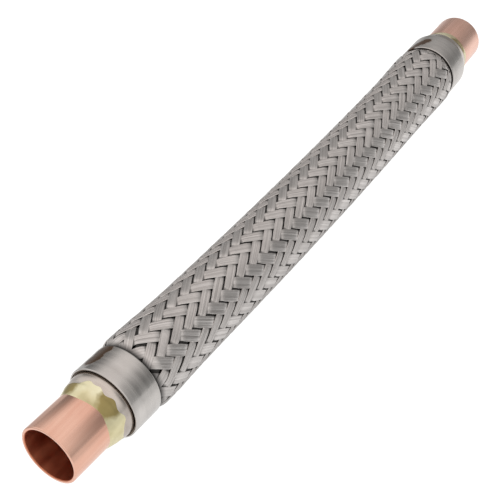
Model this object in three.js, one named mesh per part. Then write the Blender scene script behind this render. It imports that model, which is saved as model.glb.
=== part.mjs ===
// Vibration eliminator for a refrigerant line: a corrugated hose under a wire braid,
// held at each end by a steel collar and ending in a copper solder socket.
// It lies along X, resting on its braid at z = 0. The near end is at -X. Sizes are in mm.

import * as THREE from 'three';
import { mergeVertices } from 'three/addons/utils/BufferGeometryUtils.js';

// Whole part
const overall_length = 247.65;
const bow_depth = 2.3; // the middle stands this far off the line between the two rims
const seat_gap = 0.3; // left between pieces that sit in or on each other

// Copper tube with its solder socket
const tube_radius = 8.95;
const tube_wall = 0.95;
const socket_depth = 13.5;
const socket_stop_height = 0.6;
const rim_round = 0.3;
const tube_insertion = 7.4; // how far the tube goes into the nipple

// Steel nipple brazed over the tube
const nipple_set_back = 16.6; // rim of the tube to the nipple's front
const nipple_head_length = 4.0;
const nipple_head_wall = 1.05;
const nipple_tail_wall = 0.45;
const nipple_tail_length = 7.7;
const nipple_edge = 0.35;

// Braze fillet between tube and nipple
const braze_length = 3.3;
const braze_toe = 0.15;

// Collar pressed over the end of the braid
const collar_groove = 0.8; // dark groove between nipple head and collar
const collar_length = 9.85;
const collar_wall = 0.5;
const collar_edge = 0.35;

// Braid of flat wire strands, each going over two and under two
const braid_radius = 11.12;
const braid_bulge_rise = 0.53; // behind each collar, above the radius of the rest
const braid_thickness = 0.72;
const braid_neck_thickness = 0.45; // pressed flat under the collar
const braid_neck_rise = 4.0; // collar to the top of the bulge
const braid_bulge_fade = 14.0;
const braid_collar_inset = 0.6;
const strands_each_way = 18; // an even number, so that the pattern closes
const strand_lay = 6.27; // along the hose, between strands of one family
const strand_relief = 0.36;
const strand_side_margin = 0.09; // share of a strand's spacing left as groove on each side
const strand_end_margin = 0.16; // the same where a strand dives under the next one
const braid_turn = 0.04; // radians that the pattern is turned about the hose
const bore_spacing = 18; // between the rings that shape the inside of the braid
const rest_flat = 0.1; // the braid lies this much flatter where it touches the ground

// Corrugated hose inside the braid
const hose_wall = 0.5;
const hose_depth = 1.9; // crest to root
const hose_pitch = 6.2;
const hose_cuff_clearance = 0.5;

const ring_sides = 32;
const hose_sides = 14;

// Places and radii that follow from the sizes above
const half_length = overall_length / 2;
const tube_tail = nipple_set_back + tube_insertion;
const nipple_bore = tube_radius + seat_gap;
const nipple_radius = nipple_bore + nipple_head_wall;
const nipple_tail_radius = nipple_bore + nipple_tail_wall;
const nipple_shoulder = nipple_set_back + nipple_head_length;
const collar_front = nipple_shoulder + collar_groove;
const collar_rear = collar_front + collar_length;
const neck_bore = nipple_tail_radius + seat_gap;
const neck_radius = neck_bore + braid_neck_thickness;
const collar_bore = neck_radius + seat_gap;
const collar_radius = collar_bore + collar_wall;
const bare_half = half_length - collar_rear;
const hose_crest = braid_radius - braid_thickness - seat_gap;

const copper = { color: 0xcf9a82, roughness: 0.38, metalness: 1.0 };
const braze_alloy = { color: 0xb9b07c, roughness: 0.45, metalness: 1.0 };
const nipple_steel = { color: 0x9a948c, roughness: 0.4, metalness: 1.0 };
const collar_steel = { color: 0xa39e9a, roughness: 0.38, metalness: 1.0 };
const braid_wire = { color: 0xb0aca8, roughness: 0.35, metalness: 1.0 };
const hose_steel = { color: 0x8f8c88, roughness: 0.42, metalness: 1.0 };

// Bow of the hose. The collars and tubes are straight and carry on along its tangents.
const bow_radius = (bare_half ** 2 / 2 + (half_length - bare_half) * bare_half) / bow_depth;
const bulge_place = bare_half - braid_neck_rise;
const bow_tilt = Math.asin(braid_bulge_rise / (bulge_place ** 2 / (2 * bow_radius)));
const bow_side = new THREE.Vector3(0, Math.cos(bow_tilt), Math.sin(bow_tilt));

// Moves a point from the straight hose to the bowed one.
function bow(point) {
  const bent = THREE.MathUtils.clamp(point.x, -bare_half, bare_half);
  const straight = point.x - bent;
  const angle = bent / bow_radius;
  const off = point.dot(bow_side);
  const along = bow_radius * Math.sin(angle) + straight * Math.cos(angle) - off * Math.sin(angle);
  const aside = bow_radius * (1 - Math.cos(angle)) + straight * Math.sin(angle);
  point.x = 0;
  point.addScaledVector(bow_side, off * (Math.cos(angle) - 1) + aside);
  point.x = along;
  return point;
}

function bowed(geometry) {
  const place = geometry.getAttribute('position');
  const point = new THREE.Vector3();
  for (let n = 0; n < place.count; n += 1) {
    bow(point.fromBufferAttribute(place, n));
    place.setXYZ(n, point.x, point.y, point.z);
  }
  return geometry;
}

// Revolves a closed profile of [distance along the hose, radius] points about the X axis.
function revolved(profile, sides) {
  const outline = [...profile, profile[0]].map(([along, radius]) => new THREE.Vector2(radius, along));
  const lathe = new THREE.LatheGeometry(outline.reverse(), sides, Math.PI / sides);
  lathe.deleteAttribute('normal');
  lathe.deleteAttribute('uv');
  return mergeVertices(lathe.rotateZ(-Math.PI / 2), 1e-4);
}

// A ring at one end, from a profile measured inwards from that end's rim.
function endRing(profile, end) {
  const placed = profile.map(([depth, radius]) => [depth - half_length, radius]);
  const geometry = revolved(placed, ring_sides);
  return bowed(end === 'far' ? geometry.rotateZ(Math.PI) : geometry);
}

function copperTube(end) {
  const socket = tube_radius - tube_wall;
  const stop = socket - socket_stop_height;
  return endRing([
    [tube_tail, stop],
    [tube_tail, tube_radius],
    [2 * rim_round, tube_radius],
    [rim_round / 2, tube_radius - rim_round / 2],
    [0, tube_radius - rim_round],
    [0, socket + rim_round / 2],
    [rim_round, socket],
    [socket_depth, socket],
    [socket_depth, stop],
  ], end);
}

function brazeRing(end) {
  const heel = nipple_set_back - seat_gap;
  const toe = heel - braze_length;
  const rise = nipple_head_wall - nipple_edge;
  return endRing([
    [toe, nipple_bore],
    [heel, nipple_bore],
    [heel, nipple_bore + rise],
    [heel - braze_length * 0.35, nipple_bore + rise * 0.62],
    [toe, nipple_bore + braze_toe],
  ], end);
}

function endNipple(end) {
  const tail_end = nipple_shoulder + nipple_tail_length;
  return endRing([
    [nipple_set_back, nipple_bore],
    [tail_end, nipple_bore],
    [tail_end, nipple_tail_radius],
    [nipple_shoulder, nipple_tail_radius],
    [nipple_shoulder, nipple_radius],
    [nipple_set_back + nipple_edge, nipple_radius],
    [nipple_set_back, nipple_radius - nipple_edge],
  ], end);
}

function braidCollar(end) {
  return endRing([
    [collar_front, collar_bore],
    [collar_rear, collar_bore],
    [collar_rear, collar_radius - collar_edge / 2],
    [collar_rear - collar_edge / 2, collar_radius],
    [collar_front + collar_edge, collar_radius],
    [collar_front, collar_radius - collar_edge],
  ], end);
}

// One closed profile: out along the crests and roots, and back along the inside.
function corrugatedHose() {
  const start = tube_tail + seat_gap - half_length;
  const first = -bare_half + hose_cuff_clearance;
  const count = Math.max(2, Math.round((-2 * first) / hose_pitch));
  const pitch = (-2 * first) / count;
  const cuff = nipple_bore - seat_gap;
  const root = hose_crest - hose_depth;
  const outside = [[start, cuff], [first, cuff]];
  for (let n = 0; n < count; n += 1) {
    if (n > 0) outside.push([first + n * pitch, root]);
    outside.push([first + (n + 0.5) * pitch, hose_crest]);
  }
  outside.push([-first, cuff], [-start, cuff]);
  const inside = outside.map(([along, radius]) => [along, radius - hose_wall]);
  return bowed(revolved([...inside, ...outside.reverse()], hose_sides));
}

// Outer radius of the braid: pressed in at the collar, bulging behind it, then even.
function braidRadius(along) {
  const behind = bare_half - Math.abs(along);
  if (behind < braid_neck_rise) {
    return THREE.MathUtils.lerp(neck_radius, braid_radius + braid_bulge_rise,
      THREE.MathUtils.smoothstep(behind, 0, braid_neck_rise));
  }
  const fade = (behind - braid_neck_rise) / braid_bulge_fade;
  return braid_radius + braid_bulge_rise * Math.exp(-fade * fade);
}

// Inner radius of the braid. Under the collar the wires are pressed flat.
function braidBore(along) {
  const behind = bare_half - Math.abs(along);
  const pressed = THREE.MathUtils.smoothstep(behind, 0, braid_neck_rise);
  return braidRadius(along) - THREE.MathUtils.lerp(braid_neck_thickness, braid_thickness, pressed);
}

// The braid as one wall. Strand i of one family and strand j of the other cross at
// angle (i + j) * half_step and distance (j - i) * half_lay, so the cells between four
// neighbouring crossings tile the hose. Each strand floats over two cells at a time,
// and every float stands up from the grooves round it as a pad with sloping sides.
const half_step = Math.PI / strands_each_way;
const rows = 2 * strands_each_way;
const weave_half = bare_half - seat_gap;
const weave_steps = Math.round((2 * weave_half) / (strand_lay / 2));
const half_lay = (2 * weave_half) / weave_steps;
const last_cell = weave_steps - 2;

class BraidWall {
  constructor() {
    this.positions = [];
    this.triangles = [];
    this.corners = new Map();
  }

  point(along, angle, radius) {
    this.positions.push(along, radius * Math.cos(angle), radius * Math.sin(angle));
    return this.positions.length / 3 - 1;
  }

  // A point of the pattern, where i and j may be fractions between crossings.
  woven(i, j, depth) {
    const along = (j - i + 1) * half_lay - weave_half;
    return this.point(along, (i + j) * half_step + braid_turn, braidRadius(along) - depth);
  }

  // The low point where four cells meet, shared by the floats round it.
  corner(i, j) {
    const row = (((i + j) % rows) + rows) % rows;
    const key = `${row} ${j - i}`;
    if (!this.corners.has(key)) this.corners.set(key, this.woven(i, j, strand_relief));
    return this.corners.get(key);
  }

  // The strip from the groove up to one edge of a float's top.
  slope(low, first, last) {
    this.triangles.push(low[0], low[1], first);
    this.triangles.push(low[1], last, first);
    if (low.length > 2) this.triangles.push(low[1], low[2], last);
  }

  pad(i0, i1, j0, j1, side_i, side_j) {
    const top = [
      this.woven(i0 + side_i, j0 + side_j, 0),
      this.woven(i1 - side_i, j0 + side_j, 0),
      this.woven(i1 - side_i, j1 - side_j, 0),
      this.woven(i0 + side_i, j1 - side_j, 0),
    ];
    this.triangles.push(top[0], top[1], top[3], top[1], top[2], top[3]);
    const ends = [[i0, j0], [i1, j0], [i1, j1], [i0, j1]];
    for (let n = 0; n < 4; n += 1) {
      const [from_i, from_j] = ends[n];
      const [to_i, to_j] = ends[(n + 1) % 4];
      const count = Math.abs(to_i - from_i) + Math.abs(to_j - from_j);
      const low = [];
      for (let k = 0; k <= count; k += 1) {
        low.push(this.corner(from_i + ((to_i - from_i) * k) / count, from_j + ((to_j - from_j) * k) / count));
      }
      this.slope(low, top[n], top[(n + 1) % 4]);
    }
  }

  ring(along, radius) {
    const angles = Array.from({ length: rows }, (_, row) => row * half_step + braid_turn);
    return angles.map((angle) => this.point(along, angle, radius));
  }

  // The quads between two rings of the wall, from the first towards the second.
  loft(first, second) {
    for (let row = 0; row < rows; row += 1) {
      const next = (row + 1) % rows;
      this.triangles.push(first[row], second[row], first[next]);
      this.triangles.push(first[next], second[row], second[next]);
    }
  }

  // The zigzag edge of the pattern at one end: its corners, row by row.
  edge(step) {
    return Array.from({ length: rows }, (_, row) => {
      const on = (row + step) % 2 === 0 ? step : step + (step < 0 ? 1 : -1);
      return this.corner((row - on) / 2, (row + on) / 2);
    });
  }

  geometry() {
    const geometry = new THREE.BufferGeometry();
    geometry.setAttribute('position', new THREE.Float32BufferAttribute(this.positions, 3));
    geometry.setIndex(this.triangles);
    return geometry;
  }
}

// Floats of both families. Those cut by an end of the pattern keep one cell.
function addFloats(wall) {
  for (let i = 0; i < strands_each_way; i += 1) {
    for (let step = -1; step <= last_cell + 1; step += 1) {
      const j = i + step;
      const phase = (((i + j) % 4) + 4) % 4;
      if (phase === 0) {
        const from = Math.max(j, i);
        const to = Math.min(j + 2, i + last_cell + 1);
        if (to > from) wall.pad(i, i + 1, from, to, strand_side_margin, strand_end_margin);
      }
      if (phase === 2) {
        const from = Math.max(i, j - last_cell);
        const to = Math.min(i + 2, j + 1);
        if (to > from) wall.pad(from, to, j, j + 1, strand_end_margin, strand_side_margin);
      }
    }
  }
}

// Flattens the lowest crests, on which the braid lies.
function settled(geometry) {
  const place = geometry.getAttribute('position');
  const ground = new THREE.Box3().setFromBufferAttribute(place).min.z + rest_flat;
  for (let n = 0; n < place.count; n += 1) place.setZ(n, Math.max(place.getZ(n), ground));
  return geometry;
}

function braidSleeve() {
  const wall = new BraidWall();
  addFloats(wall);
  const end = half_length - collar_front - braid_collar_inset;
  const bays = Math.round((2 * bulge_place) / bore_spacing);
  const bulging = Array.from({ length: bays + 1 }, (_, n) => bulge_place * (1 - (2 * n) / bays));
  const stations = [end, bare_half, bare_half - braid_neck_rise / 2];
  const bore = [...stations.map((along) => -along), ...bulging.reverse(), ...stations.reverse()]
    .map((along) => wall.ring(along, braidBore(along)));
  const near = [wall.edge(-1), wall.ring(-bare_half, neck_radius), wall.ring(-end, neck_radius)];
  const far = [wall.ring(end, neck_radius), wall.ring(bare_half, neck_radius), wall.edge(last_cell + 1)];
  const rings = [...near, ...bore, ...far];
  for (let n = 0; n + 1 < rings.length; n += 1) wall.loft(rings[n], rings[n + 1]);
  return settled(bowed(wall.geometry()));
}

function piece(name, geometry, finish) {
  geometry.computeVertexNormals();
  const mesh = new THREE.Mesh(geometry, new THREE.MeshStandardMaterial(finish));
  mesh.name = name;
  return mesh;
}

const eliminator = new THREE.Group();
for (const end of ['near', 'far']) {
  eliminator.add(piece(`${end}_copper_tube`, copperTube(end), copper));
  eliminator.add(piece(`${end}_braze_ring`, brazeRing(end), braze_alloy));
  eliminator.add(piece(`${end}_end_nipple`, endNipple(end), nipple_steel));
  eliminator.add(piece(`${end}_braid_collar`, braidCollar(end), collar_steel));
}
eliminator.add(piece('corrugated_hose', corrugatedHose(), hose_steel));
eliminator.add(piece('braid_sleeve', braidSleeve(), braid_wire));

// The origin is under the middle of the part, at the level that it rests on.
const extent = new THREE.Box3().setFromObject(eliminator);
const middle = extent.getCenter(new THREE.Vector3());
eliminator.position.set(-middle.x, -middle.y, -extent.min.z);
eliminator.updateMatrixWorld(true);

export default eliminator;
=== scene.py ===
"""A braided vibration eliminator with copper solder sockets, lying on a white ground."""

import math

import bpy
import numpy as np
from mathutils import Matrix, Vector

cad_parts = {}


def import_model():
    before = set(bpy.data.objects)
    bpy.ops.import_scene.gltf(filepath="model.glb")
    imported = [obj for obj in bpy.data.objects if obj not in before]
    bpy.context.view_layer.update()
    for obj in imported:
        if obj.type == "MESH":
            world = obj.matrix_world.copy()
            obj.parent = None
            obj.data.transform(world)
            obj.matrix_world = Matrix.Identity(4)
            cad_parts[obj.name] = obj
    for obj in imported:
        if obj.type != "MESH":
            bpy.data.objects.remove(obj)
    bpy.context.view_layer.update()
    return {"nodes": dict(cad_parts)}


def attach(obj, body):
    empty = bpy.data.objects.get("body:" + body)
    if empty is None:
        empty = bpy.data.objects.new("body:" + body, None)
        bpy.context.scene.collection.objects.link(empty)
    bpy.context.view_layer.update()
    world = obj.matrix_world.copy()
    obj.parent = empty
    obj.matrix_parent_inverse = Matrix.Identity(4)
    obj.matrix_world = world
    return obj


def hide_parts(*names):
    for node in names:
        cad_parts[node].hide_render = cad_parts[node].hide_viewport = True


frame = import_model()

MM = 0.001
TURN = 2 * math.pi
rng = np.random.default_rng(20)

# Sizes of the real thing, in metres. Depths run inwards from each end's rim.
HALF_LENGTH = 247.65 * MM / 2
BOW_DEPTH = 2.3 * MM
TUBE_RADIUS = 8.95 * MM
SOCKET_RADIUS = 8.0 * MM
SOCKET_DEPTH = 13.5 * MM
STOP_RADIUS = 7.4 * MM
TUBE_TAIL = 24.0 * MM
NIPPLE_FRONT = 16.6 * MM
NIPPLE_SHOULDER = 21.2 * MM
NIPPLE_TAIL = 28.3 * MM
NIPPLE_BORE = 9.25 * MM
NIPPLE_RADIUS = 10.3 * MM
NIPPLE_TAPER = 3.0 * MM
NIPPLE_DROP = 0.5 * MM
NIPPLE_TAIL_RADIUS = 9.7 * MM
COLLAR_FRONT = 20.9 * MM
COLLAR_REAR = 31.25 * MM
COLLAR_BORE = 10.75 * MM
COLLAR_RADIUS = 11.25 * MM
BRAID_END = 23.2 * MM
NECK_RADIUS = 10.66 * MM
BRAID_RADIUS = 11.12 * MM
BULGE_RADIUS = 11.65 * MM
NECK_RISE = 4.0 * MM
BULGE_FADE = 14.0 * MM
BRAID_THICKNESS = 0.56 * MM
NECK_THICKNESS = 0.42 * MM
HOSE_CREST = 10.1 * MM
HOSE_PITCH = 3.1 * MM
HOSE_DEPTH = 1.9 * MM
HOSE_WALL = 0.4 * MM
HOSE_FADE = 3.0 * MM
CLEARANCE = 0.3 * MM

# Edges: how far each is rounded, the fold at the collar's mouth, and how deep the collar's dents are
RIM_ROUND = 0.38 * MM
NIPPLE_ROUND = 0.4 * MM
COLLAR_ROUND = 0.34 * MM
FOLD_MOUTH = 10.78 * MM
FOLD_BORE = 10.31 * MM
FOLD_DEPTH = 0.34 * MM
DENTS = 0.03 * MM
# Faces nearer the middle of the hose than this are the bore's copper, and the fold's lining of painted
# shade
BORE_LINE = SOCKET_RADIUS + 0.25 * MM
FOLD_LINE = COLLAR_BORE + 0.04 * MM

# Braze: its toe on the tube and its edge on the nipple, how far both wander, and how it is laid on
BRAZE_TOE = 13.1 * MM
BRAZE_EDGE = 17.8 * MM
FAR_BRAZE_EDGE = NIPPLE_FRONT + 0.45 * MM
TOE_WANDER = 0.35 * MM
EDGE_WANDER = 0.5 * MM
FAR_WANDER = 0.2
BRAZE_LUMPS = 0.05 * MM
BRAZE_PROUD = 0.04 * MM
BRAZE_FEATHER = 0.03 * MM
BRAZE_FOOT = 0.06 * MM
BRAZE_SUNK = 0.15 * MM
# Where it has crept over the nipple, and less at the far end: degrees about the hose, how far in mm,
# how wide in degrees
CREEPS = ((103, 1.5, 9), (80, 0.7, 12), (128, 0.8, 10), (205, 0.6, 20))

# Marks of the torch, each as depth in mm and degrees about the hose: burnt braze, and brown collars.
# A mark is full as far as its core and gone at its reach, with a ragged edge.
BURNS = ((15.0, 131), (17.2, 124), (16.8, 137), (15.4, 55))
BURN_CORE = 2.0 * MM
BURN_REACH = 3.4 * MM
TINTS = {"near": ((30.0, 63), (28.6, 57), (26.4, 62), (25.0, 57)),
         "far": ((25.9, 74), (27.1, 68), (27.9, 62), (28.9, 57), (30.1, 51))}
TINT_CORE = {"near": 1.9 * MM, "far": 1.6 * MM}
TINT_FADE = 0.8 * MM
RAGGED = 2.2 * MM

# The bow: an arc between the collars, leaned over so that the braid lies on its middle and both swells
BARE_HALF = HALF_LENGTH - COLLAR_REAR
BOW_RADIUS = (BARE_HALF ** 2 / 2 + (HALF_LENGTH - BARE_HALF) * BARE_HALF) / BOW_DEPTH
BULGE_PLACE = BARE_HALF - NECK_RISE
BOW_TILT = math.asin((BULGE_RADIUS - BRAID_RADIUS) / (BULGE_PLACE ** 2 / (2 * BOW_RADIUS)))
BOW_SIDE = np.array([math.cos(BOW_TILT), math.sin(BOW_TILT)])

# Braid pattern. The strands wound one way go by 1, and those wound the other way by -1.
STRANDS_EACH_WAY = 18
STRAND_LAY = 6.28 * MM
STRAND_WIDTH = {1: 3.04 * MM, -1: 2.93 * MM}
WIRES = 8
HALF_STEP = math.pi / STRANDS_EACH_WAY
HALF_LAY = STRAND_LAY / 2
BRAID_TURN = 0.04
BRAID_SHIFT = 0.72 * MM
SKEW = 3.2 * MM
SKEW_SIDE = math.radians(40)
# Slip of the weave along the hose in mm and round it in degrees, by powers of the place over 100 mm
SLIP = (0.0, 2.70, -0.09, -0.76)
TWIST = (2.5, 3.8, 1.9, -4.8)

# How a strand lies: the length of its steps, the share of its spacing that it takes at most, how far
# it narrows where it dives, how far it strays and tilts, and how uneven its wires are
STRAND_STEP = 0.6 * MM
WIDEST = 0.97
NARROWED = 0.08
NARROW_REACH = 0.35
STRAY = 0.05 * MM
STRAY_WAVES = (41 * MM, 17 * MM, 9 * MM)
TILT = 0.03 * MM
TILT_WAVE = 33 * MM
UNEVEN_WIRES = 0.07
# How far in mm strands have shifted beside the near and the far collar, and how far that reaches
LOOSE_NEAR = 0.22
LOOSE_FAR = 0.16
LOOSE_REACH = 9 * MM
# Lengths by which the distance from the near and the far collar is scaled for the wire's painted shade,
# and how far its marks are shifted from strand to strand
COLLAR_SHADE_NEAR = 20 * MM
COLLAR_SHADE_FAR = 6 * MM
MARK_SHIFT = 0.37
# No wire stands farther out than the braid and this, or nearer to the ground than the gap
PROUD_LIMIT = 0.03 * MM
GROUND_GAP = 0.02 * MM


def bowed(along, across, up):
    """Moves points of the straight hose onto the bowed one."""
    bent = np.clip(along, -BARE_HALF, BARE_HALF)
    straight = along - bent
    angle = bent / BOW_RADIUS
    off = across * BOW_SIDE[0] + up * BOW_SIDE[1]
    x = BOW_RADIUS * np.sin(angle) + straight * np.cos(angle) - off * np.sin(angle)
    aside = BOW_RADIUS * (1 - np.cos(angle)) + straight * np.sin(angle)
    shift = off * (np.cos(angle) - 1) + aside
    return np.stack([x, across + BOW_SIDE[0] * shift, up + BOW_SIDE[1] * shift], axis=-1)


def seat():
    """How far the bowed hose is moved so that it lies where the frame has it."""
    tube = frame["nodes"]["near_copper_tube"].data
    places = np.empty(len(tube.vertices) * 3)
    tube.vertices.foreach_get("co", places)
    middle = places.reshape(-1, 3).mean(axis=0)
    line = bowed(np.linspace(-HALF_LENGTH, -BARE_HALF, 50), np.zeros(50), np.zeros(50))
    there = [np.interp(middle[0], line[:, 0], line[:, axis]) for axis in (1, 2)]
    return np.array([0.0, middle[1] - there[0], middle[2] - there[1]])


SEAT = seat()


def placed(along, angle, radius):
    """Points at a distance along the hose, an angle about it from +Y towards +Z, and a radius."""
    return bowed(along, radius * np.cos(angle), radius * np.sin(angle)) + SEAT


def smooth(value, low, high):
    """A smooth step from 0 at low to 1 at high."""
    share = np.clip((value - low) / (high - low), 0, 1)
    return share * share * (3 - 2 * share)


def grid_mesh(name, points, round_the_other=True, caps=False, uv=None):
    """A mesh from a grid of points: rows closed on themselves, and columns if asked."""
    rows, columns = points.shape[:2]
    index = np.arange(rows * columns).reshape(rows, columns)
    here = index if round_the_other else index[:-1]
    there = np.roll(index, -1, axis=0) if round_the_other else index[1:]
    quads = np.stack([here, np.roll(here, -1, axis=1), np.roll(there, -1, axis=1), there], axis=-1)
    faces = quads.reshape(-1, 4)
    loops = faces.ravel()
    sizes = np.full(len(faces), 4)
    if caps:
        loops = np.concatenate([loops, index[0][::-1], index[-1]])
        sizes = np.concatenate([sizes, [columns, columns]])
    mesh = bpy.data.meshes.new(name)
    mesh.vertices.add(rows * columns)
    mesh.vertices.foreach_set("co", points.ravel())
    mesh.loops.add(len(loops))
    mesh.loops.foreach_set("vertex_index", loops)
    mesh.polygons.add(len(sizes))
    mesh.polygons.foreach_set("loop_start", np.concatenate([[0], np.cumsum(sizes)[:-1]]))
    for title, places in (uv or {}).items():
        layer = mesh.uv_layers.new(name=title)
        layer.data.foreach_set("uv", places.reshape(-1, 2)[loops].ravel())
    mesh.update(calc_edges=True)
    mesh.polygons.foreach_set("use_smooth", np.full(len(sizes), True))
    mesh.validate()
    made = bpy.data.objects.new(name, mesh)
    bpy.context.collection.objects.link(made)
    return made


def dress(piece, material, slot, *nodes):
    """Gives a piece its finish and puts it in place of CAD nodes."""
    piece.data.materials.append(material)
    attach(piece, "root")
    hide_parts(*nodes)
    return piece


# Shader helpers

def node(tree, kind, inputs=None, **settings):
    """A shader node with its inputs linked or set."""
    made = tree.nodes.new(kind)
    for name, value in settings.items():
        setattr(made, name, value)
    for name, value in (inputs or {}).items():
        if isinstance(value, bpy.types.NodeSocket):
            tree.links.new(value, made.inputs[name])
        else:
            made.inputs[name].default_value = value
    return made


def maths(tree, operation, *values):
    return node(tree, "ShaderNodeMath", dict(enumerate(values)), operation=operation).outputs[0]


def own_place(tree):
    return node(tree, "ShaderNodeTexCoord").outputs["Object"]


def split(tree, vector):
    return node(tree, "ShaderNodeSeparateXYZ", {"Vector": vector}).outputs


def metal(name):
    """A new metal and its shader. The caller links what varies over the surface."""
    made = bpy.data.materials.new(name)
    made.use_nodes = True
    shader = made.node_tree.nodes["Principled BSDF"]
    shader.inputs["Metallic"].default_value = 1.0
    return made, made.node_tree, shader


def noise(tree, scale, stretch=(1, 1, 1), detail=3.0, source=None):
    """Noise over the object's own place, or over a given vector."""
    moved = node(tree, "ShaderNodeMapping", {"Vector": source or own_place(tree), "Scale": stretch})
    made = node(tree, "ShaderNodeTexNoise", {"Vector": moved.outputs[0], "Scale": scale, "Detail": detail})
    return made.outputs["Fac"]


def ramp(tree, value, *stops):
    """A colour ramp from (place, colour) stops."""
    made = node(tree, "ShaderNodeValToRGB", {"Fac": value})
    points = made.color_ramp.elements
    points[0].position, points[0].color = stops[0][0], (*stops[0][1], 1)
    points[1].position, points[1].color = stops[-1][0], (*stops[-1][1], 1)
    for place, colour in stops[1:-1]:
        points.new(place).color = (*colour, 1)
    return made.outputs["Color"]


def ranged(tree, value, low, high, start=0.3, end=0.7):
    """Low where the value is at the start, high at the end, and even between."""
    made = node(tree, "ShaderNodeMapRange",
                {"Value": value, "From Min": start, "From Max": end, "To Min": low, "To Max": high})
    return made.outputs["Result"]


def bump(tree, shader, height, distance):
    made = node(tree, "ShaderNodeBump", {"Height": height, "Distance": distance})
    tree.links.new(made.outputs["Normal"], shader.inputs["Normal"])


def mixed(tree, share, first, second):
    """A colour between the first, at a share of 0, and the second, at 1."""
    made = node(tree, "ShaderNodeMix", {0: share, 6: first, 7: second}, data_type="RGBA")
    return made.outputs[2]


# Materials

def copper_outside(name, painted_light_scale, low, high):
    """Drawn copper with streaks along the tube; a scale per end multiplies its colour, painted light that
    makes the far tube lighter and paler than the near one.
    """
    made, tree, shader = metal(name)
    streaks = noise(tree, 900.0, (0.035, 1, 1), 4.0)
    clouds = noise(tree, 120.0, (0.6, 1, 1))
    fine = ramp(tree, streaks, (0.3, (0.78, 0.43, 0.315)), (0.7, (0.90, 0.56, 0.435)))
    stained = ramp(tree, clouds, (0.35, (0.80, 0.44, 0.33)), (0.65, (0.92, 0.59, 0.465)))
    both = mixed(tree, 0.45, fine, stained)
    scaled = node(tree, "ShaderNodeVectorMath", {0: both, 1: painted_light_scale}, operation="MULTIPLY")
    tree.links.new(scaled.outputs["Vector"], shader.inputs["Base Color"])
    tree.links.new(ranged(tree, streaks, low, high), shader.inputs["Roughness"])
    bump(tree, shader, streaks, 0.012 * MM)
    return made


def copper_bore():
    made, tree, shader = metal("copper_bore")
    clouds = noise(tree, 260.0, (0.3, 1, 1), 4.0)
    colour = ramp(tree, clouds, (0.3, (0.46, 0.14, 0.075)), (0.7, (0.74, 0.30, 0.17)))
    tree.links.new(colour, shader.inputs["Base Color"])
    tree.links.new(ranged(tree, clouds, 0.34, 0.52), shader.inputs["Roughness"])
    bump(tree, shader, clouds, 0.03 * MM)
    return made


def braze_alloy(name, centres):
    """Pale yellow alloy, burnt to olive brown round a few places."""
    made, tree, shader = metal(name)
    lumps = noise(tree, 330.0, detail=4.0)
    clouds = noise(tree, 120.0)
    colour = ramp(tree, clouds, (0.34, (0.58, 0.52, 0.30)), (0.5, (0.79, 0.73, 0.47)),
                  (0.66, (0.92, 0.89, 0.64)))
    burnt = patches(tree, centres, BURN_CORE, BURN_REACH)
    tree.links.new(mixed(tree, burnt, colour, (0.36, 0.29, 0.12, 1)), shader.inputs["Base Color"])
    tree.links.new(ranged(tree, lumps, 0.26, 0.5), shader.inputs["Roughness"])
    bump(tree, shader, lumps, 0.10 * MM)
    return made


def patches(tree, centres, core, reach):
    """Ragged stains: 1 within the core distance of a place, fading to 0 at the reach."""
    place = own_place(tree)
    nearest = None
    for centre in centres:
        measured = node(tree, "ShaderNodeVectorMath", {0: place, 1: tuple(centre)}, operation="DISTANCE")
        apart = measured.outputs["Value"]
        nearest = apart if nearest is None else maths(tree, "MINIMUM", nearest, apart)
    cloud = maths(tree, "SUBTRACT", noise(tree, 600.0, detail=4.0), 0.5)
    return ranged(tree, maths(tree, "MULTIPLY_ADD", cloud, RAGGED, nearest), 1.0, 0.0, core, reach)


def turned_steel(name, dark, light, low, high):
    """Steel with fine marks that run round the hose."""
    made, tree, shader = metal(name)
    marks = noise(tree, 1000.0, (1, 0.03, 0.03))
    clouds = noise(tree, 150.0, (1, 0.5, 0.5))
    colour = mixed(tree, 0.7, ramp(tree, marks, (0.3, dark), (0.7, light)),
                   ramp(tree, clouds, (0.35, dark), (0.65, light)))
    tree.links.new(ranged(tree, marks, low, high), shader.inputs["Roughness"])
    bump(tree, shader, marks, 0.006 * MM)
    return made, tree, shader, colour


def nipple_steel():
    made, tree, shader, colour = turned_steel(
        "nipple_steel", (0.42, 0.37, 0.335), (0.68, 0.62, 0.565), 0.14, 0.27)
    tree.links.new(colour, shader.inputs["Base Color"])
    return made


def collar_steel(name, centres, core):
    """Collar steel with a brown heat tint round a few places."""
    made, tree, shader, colour = turned_steel(
        name, (0.46, 0.44, 0.42), (0.66, 0.635, 0.61), 0.15, 0.28)
    share = patches(tree, centres, core, core + TINT_FADE)
    tree.links.new(mixed(tree, share, colour, (0.075, 0.045, 0.027, 1)), shader.inputs["Base Color"])
    tree.links.new(ranged(tree, share, 1.0, 0.1, 0.0, 1.0), shader.inputs["Metallic"])
    tree.links.new(ranged(tree, share, 0.5, 0.12, 0.0, 1.0), shader.inputs["Specular IOR Level"])
    return made


def fold_painted_shade():
    """Dark brown painted shade lining the collar's fold and bore."""
    made, tree, shader = metal("fold_painted_lining")
    clouds = noise(tree, 300.0)
    tree.links.new(ramp(tree, clouds, (0.3, (0.17, 0.135, 0.105)), (0.7, (0.30, 0.25, 0.20))),
                   shader.inputs["Base Color"])
    shader.inputs["Metallic"].default_value = 0.0
    tree.links.new(ranged(tree, clouds, 0.5, 0.7), shader.inputs["Roughness"])
    return made


def hose_steel():
    made, tree, shader = metal("hose_steel")
    clouds = noise(tree, 200.0, detail=2.0)
    # Painted shade: the steel hose is made near black, as it is seen only as shade through the braid's
    # gaps
    colour = ramp(tree, clouds, (0.3, (0.045, 0.038, 0.034)), (0.7, (0.08, 0.07, 0.062)))
    tree.links.new(colour, shader.inputs["Base Color"])
    tree.links.new(ranged(tree, clouds, 0.4, 0.55), shader.inputs["Roughness"])
    return made


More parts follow.
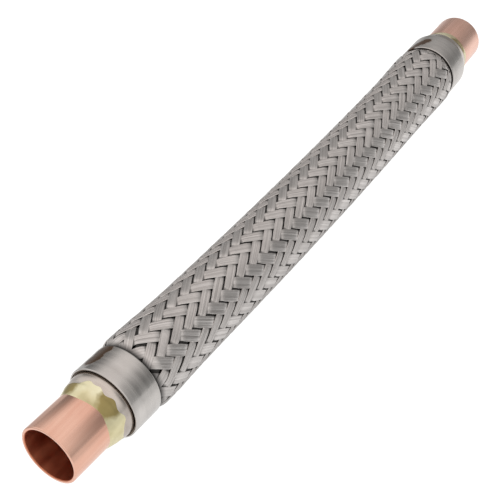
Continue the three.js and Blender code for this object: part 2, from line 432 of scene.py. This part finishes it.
def braid_wire():
    """Bright wire, each with its own tone and draw marks, and darkened with painted shade where it dives
    under the others, close behind each collar and low near the ground.

    The "lay" map runs along each wire and counts the wires across. The "depth" map says how far a
    strand has come up from under the others, and how far it is from its collar.
    """
    made, tree, shader = metal("braid_wire")
    lay = node(tree, "ShaderNodeUVMap", uv_map="lay").outputs["UV"]
    number = maths(tree, "FLOOR", split(tree, lay)["Y"])
    own = node(tree, "ShaderNodeTexWhiteNoise", {"W": number}, noise_dimensions="1D").outputs["Value"]
    marks = noise(tree, 1.0, (900.0, 5.0, 1), source=lay)
    tones = ramp(tree, own, (0.0, (0.43, 0.405, 0.39)), (1.0, (0.82, 0.79, 0.77)))
    streaks = ramp(tree, marks, (0.3, (0.54, 0.52, 0.50)), (0.7, (0.72, 0.69, 0.67)))
    depth = split(tree, node(tree, "ShaderNodeUVMap", uv_map="depth").outputs["UV"])
    # Painted shade: the wire is darkened where it dives under the others, close behind each collar, and
    # low near the ground
    dive_shade = ranged(tree, depth["X"], 0.08, 1.0, 0.06, 0.50)
    clear = ranged(tree, depth["Y"], 0.10, 1.0, 0.03, 0.11)
    ground_shade = ranged(tree, split(tree, own_place(tree))["Z"], 0.74, 1.0, 7.5 * MM, 12.5 * MM)
    wire_painted_shade = maths(tree, "MULTIPLY", maths(tree, "MULTIPLY", dive_shade, clear), ground_shade)
    shaded_colour = node(tree, "ShaderNodeVectorMath", {0: mixed(tree, 0.5, tones, streaks), "Scale": wire_painted_shade},
                  operation="SCALE")
    tree.links.new(shaded_colour.outputs["Vector"], shader.inputs["Base Color"])
    tree.links.new(ranged(tree, marks, 0.35, 0.46), shader.inputs["Roughness"])
    grain = node(tree, "ShaderNodeTangent", direction_type="UV_MAP", uv_map="lay")
    tree.links.new(grain.outputs[0], shader.inputs["Tangent"])
    shader.inputs["Anisotropic"].default_value = 0.65
    shader.inputs["Anisotropic Rotation"].default_value = 0.25
    return made


# Ends: rings revolved from profiles of (depth from the rim, radius)

RING_SIDES = 128
RING_ANGLES = np.arange(RING_SIDES) * TURN / RING_SIDES


def rounded(profile, round_by, steps=4):
    """A closed profile with its corners cut to small arcs."""
    points = [Vector(point) for point in profile]
    out = []
    for number, corner in enumerate(points):
        before, after = points[number - 1], points[(number + 1) % len(points)]
        start = corner + (before - corner).normalized() * min(round_by, (before - corner).length / 2.2)
        end = corner + (after - corner).normalized() * min(round_by, (after - corner).length / 2.2)
        for step in range(steps + 1):
            share = step / steps
            out.append(start.lerp(corner, share).lerp(corner.lerp(end, share), share))
    return np.array([tuple(point) for point in out])


def revolved(name, end, depth, radius):
    """A closed mesh at one end, from a grid of depths and radii about the hose."""
    along = depth - HALF_LENGTH if end == "near" else HALF_LENGTH - depth
    points = placed(along, np.broadcast_to(RING_ANGLES, along.shape), radius)
    return grid_mesh(name, points if end == "near" else points[::-1])


def ring(name, profile, end, wobble=None):
    """Revolves a closed profile about the hose at one end."""
    depth = np.repeat(profile[:, :1], RING_SIDES, axis=1)
    radius = np.repeat(profile[:, 1:], RING_SIDES, axis=1)
    if wobble is not None:
        radius = radius + wobble(depth, RING_ANGLES)
    return revolved(name, end, depth, radius)


def waves(angle, counts, sizes, starts):
    """A sum of sine waves."""
    return sum(size * np.sin(count * angle + start) for count, size, start in zip(counts, sizes, starts))


def line_inside(piece, radius, material):
    """Gives the faces nearer the middle of the hose than a radius another material."""
    piece.data.materials.append(material)
    for face in piece.data.polygons:
        spot = np.array(face.center) - SEAT
        line = bowed(np.array([face.center[0]]), np.zeros(1), np.zeros(1))[0]
        if math.hypot(spot[1] - line[1], spot[2] - line[2]) < radius:
            face.material_index = 1
    return piece


def tube(end, outside, bore):
    outline = [(TUBE_TAIL, STOP_RADIUS), (TUBE_TAIL, TUBE_RADIUS), (0.0, TUBE_RADIUS),
               (0.0, SOCKET_RADIUS), (SOCKET_DEPTH, SOCKET_RADIUS), (SOCKET_DEPTH, STOP_RADIUS)]
    piece = ring(f"{end}_copper_tube_drawn", rounded(outline, RIM_ROUND, 5)[::-1], end)
    dress(piece, outside, "copper", f"{end}_copper_tube")
    return line_inside(piece, BORE_LINE, bore)


def nipple_outside(depth):
    """Radius of the nipple, a little less towards its front edge."""
    return NIPPLE_RADIUS - NIPPLE_DROP * (1 - smooth(depth, NIPPLE_FRONT, NIPPLE_FRONT + NIPPLE_TAPER))


def nipple(end, steel):
    outline = [(NIPPLE_FRONT, NIPPLE_BORE), (NIPPLE_TAIL, NIPPLE_BORE), (NIPPLE_TAIL, NIPPLE_TAIL_RADIUS),
               (NIPPLE_SHOULDER, NIPPLE_TAIL_RADIUS), (NIPPLE_SHOULDER, NIPPLE_RADIUS)]
    taper = np.linspace(NIPPLE_FRONT + NIPPLE_TAPER, NIPPLE_FRONT, 5)
    outline += [(depth, nipple_outside(depth)) for depth in taper]
    piece = ring(f"{end}_end_nipple_turned", rounded(outline, NIPPLE_ROUND)[::-1], end)
    return dress(piece, steel, "nipple_steel", f"{end}_end_nipple")


def collar(end, steel, fold_lining):
    outline = [(COLLAR_FRONT, FOLD_MOUTH), (COLLAR_FRONT + FOLD_DEPTH, FOLD_MOUTH),
               (COLLAR_FRONT + FOLD_DEPTH, FOLD_BORE), (COLLAR_FRONT + 4 * FOLD_DEPTH, FOLD_BORE),
               (COLLAR_FRONT + 4 * FOLD_DEPTH, COLLAR_BORE), (COLLAR_REAR, COLLAR_BORE),
               (COLLAR_REAR, COLLAR_RADIUS), (COLLAR_FRONT, COLLAR_RADIUS)]
    starts = rng.uniform(0, TURN, 3)

    def dents(depth, angle):
        wave = DENTS * waves(angle, (2, 3, 5), (1.0, 0.6, 0.4), starts)
        return wave * smooth(depth, COLLAR_FRONT, COLLAR_REAR)

    piece = ring(f"{end}_braid_collar_pressed", rounded(outline, COLLAR_ROUND, 5)[::-1], end, dents)
    dress(piece, steel, "collar_steel", f"{end}_braid_collar")
    return line_inside(piece, FOLD_LINE, fold_lining)


def braze(end, alloy):
    """A fillet that climbs from the tube to the nipple and wets over its edge unevenly."""
    angle = RING_ANGLES
    starts = rng.uniform(0, TURN, 12)
    toe = BRAZE_TOE + TOE_WANDER * waves(angle, (1, 2, 3, 5), (1.0, 0.8, 0.5, 0.4), starts[:4])
    edge = BRAZE_EDGE + EDGE_WANDER * waves(angle, (2, 5, 9, 14), (1.0, 0.9, 0.7, 0.4), starts[4:8])
    for turn, rise, spread in CREEPS:
        apart = (angle - math.radians(turn) + math.pi) % TURN - math.pi
        edge = edge + rise * MM * np.exp(-(apart / math.radians(spread)) ** 2)
    if end == "far":
        edge = FAR_BRAZE_EDGE + FAR_WANDER * (edge - BRAZE_EDGE)
    foot = TUBE_RADIUS - BRAZE_FOOT
    crest = nipple_outside(NIPPLE_FRONT) + BRAZE_PROUD
    lumps = BRAZE_LUMPS * waves(angle, (3, 6, 11), (1.0, 0.7, 0.4), starts[8:11])
    rows = []
    for share in np.linspace(0, 1, 13):
        depth = toe + (NIPPLE_FRONT - toe) * share
        rows.append((depth, foot + (crest - foot) * share ** 1.05 + lumps * math.sin(math.pi * share)))
    for share in np.linspace(0.2, 1, 6):
        depth = NIPPLE_FRONT + (edge - NIPPLE_FRONT) * share
        level = nipple_outside(depth) + BRAZE_PROUD
        rows.append((depth, level - (BRAZE_FEATHER + BRAZE_SUNK) * share ** 6))
    under_nipple = nipple_outside(NIPPLE_FRONT) - 2 * BRAZE_SUNK
    under_tube = TUBE_RADIUS - 2 * BRAZE_SUNK
    rows += [(edge, under_nipple), (NIPPLE_FRONT, under_nipple)]
    rows += [(NIPPLE_FRONT, under_tube), (toe, under_tube)]
    depth = np.stack([np.broadcast_to(row[0], angle.shape) for row in rows])
    radius = np.stack([np.broadcast_to(row[1], angle.shape) for row in rows])
    piece = revolved(f"{end}_braze_fillet", end, depth, radius)
    return dress(piece, alloy, "braze", f"{end}_braze_ring")


# Corrugated hose

def hose(steel):
    """Rounded corrugations from cuff to cuff, as one closed wall."""
    half, steps, sides = BARE_HALF - 0.5 * MM, 10, 56
    count = round(2 * half / HOSE_PITCH)
    along = np.linspace(-half, half, count * steps + 1)
    swing = 0.5 - 0.5 * np.cos(TURN * (along + half) / (2 * half) * count)
    cuff = NIPPLE_BORE - CLEARANCE
    root = HOSE_CREST - HOSE_DEPTH
    fade = smooth(half - np.abs(along), 0, HOSE_FADE)
    radius = cuff + (root + HOSE_DEPTH * np.sqrt(swing) - cuff) * fade
    end = HALF_LENGTH - TUBE_TAIL - CLEARANCE
    outer = np.concatenate([[[-end, cuff]], np.stack([along, radius], axis=1), [[end, cuff]]])
    inner = outer - np.array([0, HOSE_WALL])
    profile = np.concatenate([outer, inner[::-1]])
    angle = np.arange(sides) * TURN / sides
    along, angle, radius = np.broadcast_arrays(profile[:, :1], angle, profile[:, 1:])
    piece = grid_mesh("corrugated_hose_wall", placed(along, angle, radius))
    return dress(piece, steel, "hose_steel", "corrugated_hose")


# Braid

def braid_radius(along):
    """Outside of the braid: it rises out of each collar to a swell, and falls to the plain hose."""
    behind = BARE_HALF - np.abs(along)
    neck = NECK_RADIUS + (BULGE_RADIUS - NECK_RADIUS) * smooth(behind, 0, NECK_RISE)
    fade = np.maximum(behind - NECK_RISE, 0) / BULGE_FADE
    body = BRAID_RADIUS + (BULGE_RADIUS - BRAID_RADIUS) * np.exp(-fade * fade)
    return np.where(behind < NECK_RISE, neck, body)


def braid_thickness(along):
    """Thickness of the braid, less where the collar presses it."""
    free = smooth(BARE_HALF - np.abs(along), 0, NECK_RISE)
    return NECK_THICKNESS + (BRAID_THICKNESS - NECK_THICKNESS) * free


def strand_section():
    """Places across a strand and heights: a ridge for each wire on top, flat below."""
    valley, crest, rim, below = 0.34, 0.5, 0.16, -0.5
    across = [(wire + share) / WIRES - 0.5 for wire in range(WIRES) for share in (0.0, 0.3, 0.7)]
    height = [valley, crest, crest] * WIRES + [rim]
    height[0] = rim
    return np.array(across + [0.5, 0.46, 0.0, -0.46]), np.array(height + [below] * 3)


def drift(lay):
    """How far the weave has slipped along the hose, and round it in radians."""
    part = lay / 0.1
    slip = sum(size * part ** power for power, size in enumerate(SLIP)) * MM
    turn = np.radians(sum(size * part ** power for power, size in enumerate(TWIST)))
    return slip, turn


def strand(way, number, metal_wire):
    """One flat strand of one family, from under one collar to under the other."""
    across, height = strand_section()
    end = HALF_LENGTH - BRAID_END
    lattice = np.linspace(-end - 3 * SKEW, end + 3 * SKEW, 600)

    def centre(lay):
        """The angle about the hose of the strand's middle."""
        crossings = 2 * number + 1 + way * (lay - BRAID_SHIFT) / HALF_LAY
        return crossings * HALF_STEP + BRAID_TURN + drift(lay)[1]

    def skewed(lay, angle):
        """The place along the hose of a point of the even weave."""
        return lay + drift(lay)[0] + SKEW * np.cos(angle - SKEW_SIDE)

    start, stop = np.interp([-end, end], skewed(lattice, centre(lattice)), lattice)
    lay = np.linspace(start, stop, int((stop - start) / STRAND_STEP) + 1)
    # Up over two strands and down under two, with a float's middle a little lower than its ends
    crossing = number + 0.5 + way * (lay - BRAID_SHIFT) / HALF_LAY
    beat = crossing + number - (1 if way > 0 else 3)
    swing = np.cos(math.pi / 2 * beat)
    lift = np.tanh(4 * swing) * (1 - 0.4 * np.maximum(swing, 0) ** 2)
    place = skewed(lay, centre(lay))
    radius_here = braid_radius(place)
    lean = np.arctan(HALF_STEP / HALF_LAY * radius_here)
    spacing = 2 * HALF_STEP * radius_here * np.cos(lean)
    narrowed = 1 - NARROWED * np.exp(-(swing / NARROW_REACH) ** 2)
    width = np.minimum(STRAND_WIDTH[way], WIDEST * spacing) * narrowed

    phases = rng.uniform(0, TURN, 3)
    stray = STRAY * waves(lay, [TURN / length for length in STRAY_WAVES], (1.0, 0.7, 0.5), phases)
    loose = np.exp(-np.maximum(BARE_HALF - np.abs(place), 0) / LOOSE_REACH)
    near, far = rng.normal(0, LOOSE_NEAR), rng.normal(0, LOOSE_FAR)
    stray = stray + loose * np.where(place < 0, near, far) * MM
    tilt = TILT * waves(lay, (TURN / TILT_WAVE,), (1.0,), phases[:1])
    side = across[None, :] * width[:, None] + stray[:, None]
    angle = centre(lay)[:, None] + side * np.cos(lean)[:, None] / radius_here[:, None]
    along = skewed(lay[:, None], angle) - way * side * np.sin(lean)[:, None]

    wires = np.repeat(rng.normal(0, UNEVEN_WIRES, WIRES), 3)
    height = height + np.concatenate([wires, np.zeros(4)])
    thick = braid_thickness(along)
    level = braid_radius(along) - thick / 2 + lift[:, None] * thick / 4
    radius = level + height[None, :] * thick / 2 + tilt[:, None] * across[None, :]
    radius = np.minimum(radius, braid_radius(along) + PROUD_LIMIT)
    points = placed(along, angle, radius)
    points[..., 2] = np.maximum(points[..., 2], GROUND_GAP)

    strand_id = number + (0 if way > 0 else STRANDS_EACH_WAY)
    wire_at = np.clip(across + 0.5, 0, 0.999) * WIRES + strand_id * (WIRES + 3)
    marks = lay[:, None] + strand_id * MARK_SHIFT
    grain = np.stack(np.broadcast_arrays(marks, wire_at[None, :]), axis=-1)
    # The depth map carries the wire's painted shade: low where a strand dives, and close behind a collar
    behind = (BARE_HALF - np.abs(along)) / np.where(along < 0, COLLAR_SHADE_NEAR, COLLAR_SHADE_FAR)
    depth = np.stack(np.broadcast_arrays(0.5 + 0.5 * lift[:, None], behind), axis=-1)
    family = "right" if way > 0 else "left"
    piece = grid_mesh(f"braid_strand_{family}_{number + 1:02d}", points[:, ::-1], False, True,
                      {"lay": grain[:, ::-1], "depth": depth[:, ::-1]})
    return dress(piece, metal_wire, "braid_wire", "braid_sleeve")


def spots(end, marks, radius):
    """Places at one end from marks of depth in mm and degrees about the hose."""
    sign = -1 if end == "near" else 1
    return [placed(sign * (HALF_LENGTH - depth * MM), math.radians(turn), radius) for depth, turn in marks]


def build():
    """All pieces of the part."""
    # The per-end colour scales are painted light: the far tube is lighter and paler than the near one
    copper = {"near": copper_outside("near_drawn_copper", (0.95, 0.95, 0.95), 0.12, 0.22),
              "far": copper_outside("far_drawn_copper", (1.05, 1.11, 1.17), 0.20, 0.34)}
    bore = copper_bore()
    steel = nipple_steel()
    # The hose is made near black: painted shade
    inner = hose_steel()
    # The wire's colour carries painted shade where strands dive, beside the collars and near the ground
    wire = braid_wire()
    # The collar's fold is lined with painted shade
    fold_shade = fold_painted_shade()
    hose(inner)
    for end in ("near", "far"):
        tube(end, copper[end], bore)
        nipple(end, steel)
        braze(end, braze_alloy(f"{end}_braze_alloy", spots(end, BURNS, NIPPLE_RADIUS)))
        tinted = collar_steel(f"{end}_collar_steel", spots(end, TINTS[end], COLLAR_RADIUS), TINT_CORE[end])
        collar(end, tinted, fold_shade)
    for number in range(STRANDS_EACH_WAY):
        strand(1, number, wire)
        strand(-1, number, wire)


# Stage

# Brightness of the studio by degrees above the ground, from level to overhead
AHEAD = ((0, 0.34), (8, 0.23), (17, 0.19), (29, 0.31), (38.5, 0.50), (47, 0.80), (53, 0.98), (90, 0.92))
ASIDE = ((0, 0.58), (10, 0.74), (25, 0.92), (60, 1.0), (90, 0.92))
STRAIGHT = ((0, 0.40), (11, 0.31), (22, 0.40), (30, 0.45), (36, 0.48), (47, 0.69), (53, 0.94), (90, 0.92))
# Where AHEAD takes over from ASIDE, and STRAIGHT from AHEAD: how far the look turns to the far end
AHEAD_TURN = (0.32, 0.50)
STRAIGHT_TURN = (0.54, 0.76)
# The studio's lights stand a little higher on one side
LEANING = (0.0, math.sin(math.radians(7)), math.cos(math.radians(7)))

# The ground is part plain and part glow: the share of glow to the camera and in a mirror
GROUND_HALF = 6.0
GROUND_COLOUR = (0.86, 0.86, 0.86, 1)
GLOW = 1.25
GLOW_SEEN = 0.8
GLOW_MIRRORED = 0.6
# In a mirror it darkens behind the part and before it: from and to a place along Y, up to a share.
# How much glow is lost there, and how much larger the share of glow is
DARK_BEHIND = (20 * MM, 46 * MM, 0.92)
DARK_BEFORE = (-30 * MM, -60 * MM, 0.55)
DARK_GLOW = -0.75
DARK_SHARE = 0.3

# The camera fitted to the photograph: focal length in pixels of a picture 500 wide, the picture's
# right and up, and where it stands from the middle of the near rim
FOCAL_PIXELS = 1080.24
PICTURE_WIDTH = 500
SENSOR_WIDTH = 36.0
CAMERA_RIGHT = Vector((0.5337, -0.8456, 0.0))
CAMERA_UP = Vector((0.5447, 0.3438, 0.7649))
CAMERA_STAND = Vector((-0.1187, -0.1340, 0.2115))


def floor():
    """Plain white ground. What the metals mirror of it is darker away from the part."""
    made = bpy.data.materials.new("white_ground")
    made.use_nodes = True
    tree = made.node_tree
    tree.nodes.clear()
    rays = node(tree, "ShaderNodeLightPath").outputs
    seen = maths(tree, "MULTIPLY", rays["Is Camera Ray"], GLOW_SEEN)
    mirrored = maths(tree, "MAXIMUM", rays["Is Glossy Ray"], rays["Is Transmission Ray"])
    aside = split(tree, own_place(tree))["Y"]
    behind, before = (ranged(tree, aside, 0.0, share, start, end)
                      for start, end, share in (DARK_BEHIND, DARK_BEFORE))
    dark = maths(tree, "MULTIPLY", maths(tree, "MAXIMUM", behind, before), mirrored)
    even = maths(tree, "MULTIPLY_ADD", mirrored, GLOW_MIRRORED, seen)
    share = maths(tree, "MULTIPLY_ADD", dark, DARK_SHARE, even)
    strength = maths(tree, "MULTIPLY_ADD", dark, DARK_GLOW, GLOW)
    plain = node(tree, "ShaderNodeBsdfDiffuse", {"Color": GROUND_COLOUR})
    glow = node(tree, "ShaderNodeEmission", {"Color": (1, 1, 1, 1), "Strength": strength})
    both = node(tree, "ShaderNodeMixShader", {0: share, 1: plain.outputs[0], 2: glow.outputs[0]})
    node(tree, "ShaderNodeOutputMaterial", {"Surface": both.outputs[0]})
    mesh = bpy.data.meshes.new("ground")
    corners = [(-1, -1), (1, -1), (1, 1), (-1, 1)]
    mesh.from_pydata([(GROUND_HALF * x, GROUND_HALF * y, 0) for x, y in corners], [], [(0, 1, 2, 3)])
    mesh.materials.append(made)
    ground = bpy.data.objects.new("ground", mesh)
    bpy.context.collection.objects.link(ground)


def gradient(tree, height, levels):
    """A ramp from level to overhead of degrees and brightness, a little warmer with height."""
    stops = []
    for place, level in levels:
        colour = (level, level * (1 - 0.0008 * place), level * (0.99 - 0.0010 * place))
        stops.append((math.sin(math.radians(place)), colour))
    return ramp(tree, height, *stops)


def world():
    """White to the camera. To everything else pale above and at the sides, and darker ahead."""
    made = bpy.data.worlds.new("studio")
    bpy.context.scene.world = made
    made.use_nodes = True
    tree = made.node_tree
    tree.nodes.clear()
    way = node(tree, "ShaderNodeTexCoord").outputs["Generated"]
    to_far_end = split(tree, way)["X"]
    leant = node(tree, "ShaderNodeVectorMath", {0: way, 1: LEANING}, operation="DOT_PRODUCT")
    height = leant.outputs["Value"]
    ahead, aside, straight = (gradient(tree, height, levels) for levels in (AHEAD, ASIDE, STRAIGHT))
    turned = ranged(tree, to_far_end, 0.0, 1.0, *AHEAD_TURN)
    middle = ranged(tree, to_far_end, 0.0, 1.0, *STRAIGHT_TURN)
    studio = mixed(tree, middle, mixed(tree, turned, aside, ahead), straight)
    rays = node(tree, "ShaderNodeLightPath").outputs
    colour = mixed(tree, rays["Is Camera Ray"], studio, (1, 1, 1, 1))
    back = node(tree, "ShaderNodeBackground", {"Color": colour, "Strength": 1.0})
    node(tree, "ShaderNodeOutputWorld", {"Surface": back.outputs[0]})


def camera():
    """The photograph's view: a 78 mm lens, 40 degrees above the ground."""
    data = bpy.data.cameras.new("camera")
    data.sensor_width = SENSOR_WIDTH
    data.lens = SENSOR_WIDTH * FOCAL_PIXELS / PICTURE_WIDTH
    data.clip_start = 0.01
    data.clip_end = 50
    made = bpy.data.objects.new("camera", data)
    right = CAMERA_RIGHT.normalized()
    up = CAMERA_UP.normalized()
    back = right.cross(up).normalized()
    rim = Vector(placed(-HALF_LENGTH, 0.0, 0.0))
    turn = Matrix((right, up, back)).transposed()
    made.matrix_world = Matrix.Translation(rim + CAMERA_STAND) @ turn.to_4x4()
    bpy.context.collection.objects.link(made)
    bpy.context.scene.camera = made


camera()
build()
floor()
world()
bpy.context.scene.view_settings.view_transform = "Standard"
